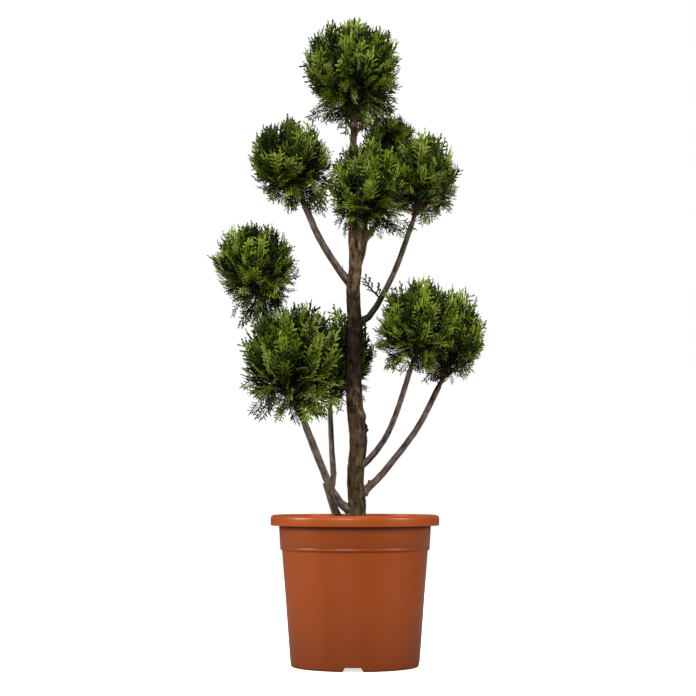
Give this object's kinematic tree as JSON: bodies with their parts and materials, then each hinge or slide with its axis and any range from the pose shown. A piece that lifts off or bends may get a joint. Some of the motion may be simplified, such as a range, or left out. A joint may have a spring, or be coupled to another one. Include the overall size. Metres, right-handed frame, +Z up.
{
  "type": "potted leyland cypress pom-pom topiary",
  "caption": "Leyland cypress on one trunk, its bare boughs each ending in a clipped ball of ferny foliage, planted in a round tapered plastic container.",
  "frame": {"origin": "middle of the pot's flat underside, on the surface that it stands on", "axes": "+Z up along the trunk; +Y away from the picture's camera, so the front is towards -Y; +X to the right in the picture"},
  "size_m": [0.5994, 0.3686, 1.4205],
  "materials": {
    "terracotta_plastic": "satin",
    "potting_mix": "matte",
    "bark": "matte",
    "cypress_foliage": "matte"
  },
  "bodies": {
    "root": {"pot": "terracotta_plastic", "soil": "potting_mix", "trunk": "bark", "leader_front": "bark", "stub_stem": "bark", "bough_lower_left": "bark", "bough_lower_back": "bark", "bough_lower_right": "bark", "bough_right": "bark", "bough_left": "bark", "bough_upper_right": "bark", "bough_upper_left": "bark", "bough_upper_back": "bark", "foliage_top": "cypress_foliage", "foliage_upper_left": "cypress_foliage", "foliage_middle": "cypress_foliage", "foliage_upper_right": "cypress_foliage", "foliage_upper_back": "cypress_foliage", "foliage_left": "cypress_foliage", "foliage_lower_left": "cypress_foliage", "foliage_lower_back": "cypress_foliage", "foliage_lower_right": "cypress_foliage", "foliage_right": "cypress_foliage", "foliage_sprig": "cypress_foliage"}
  },
  "joints": []
}
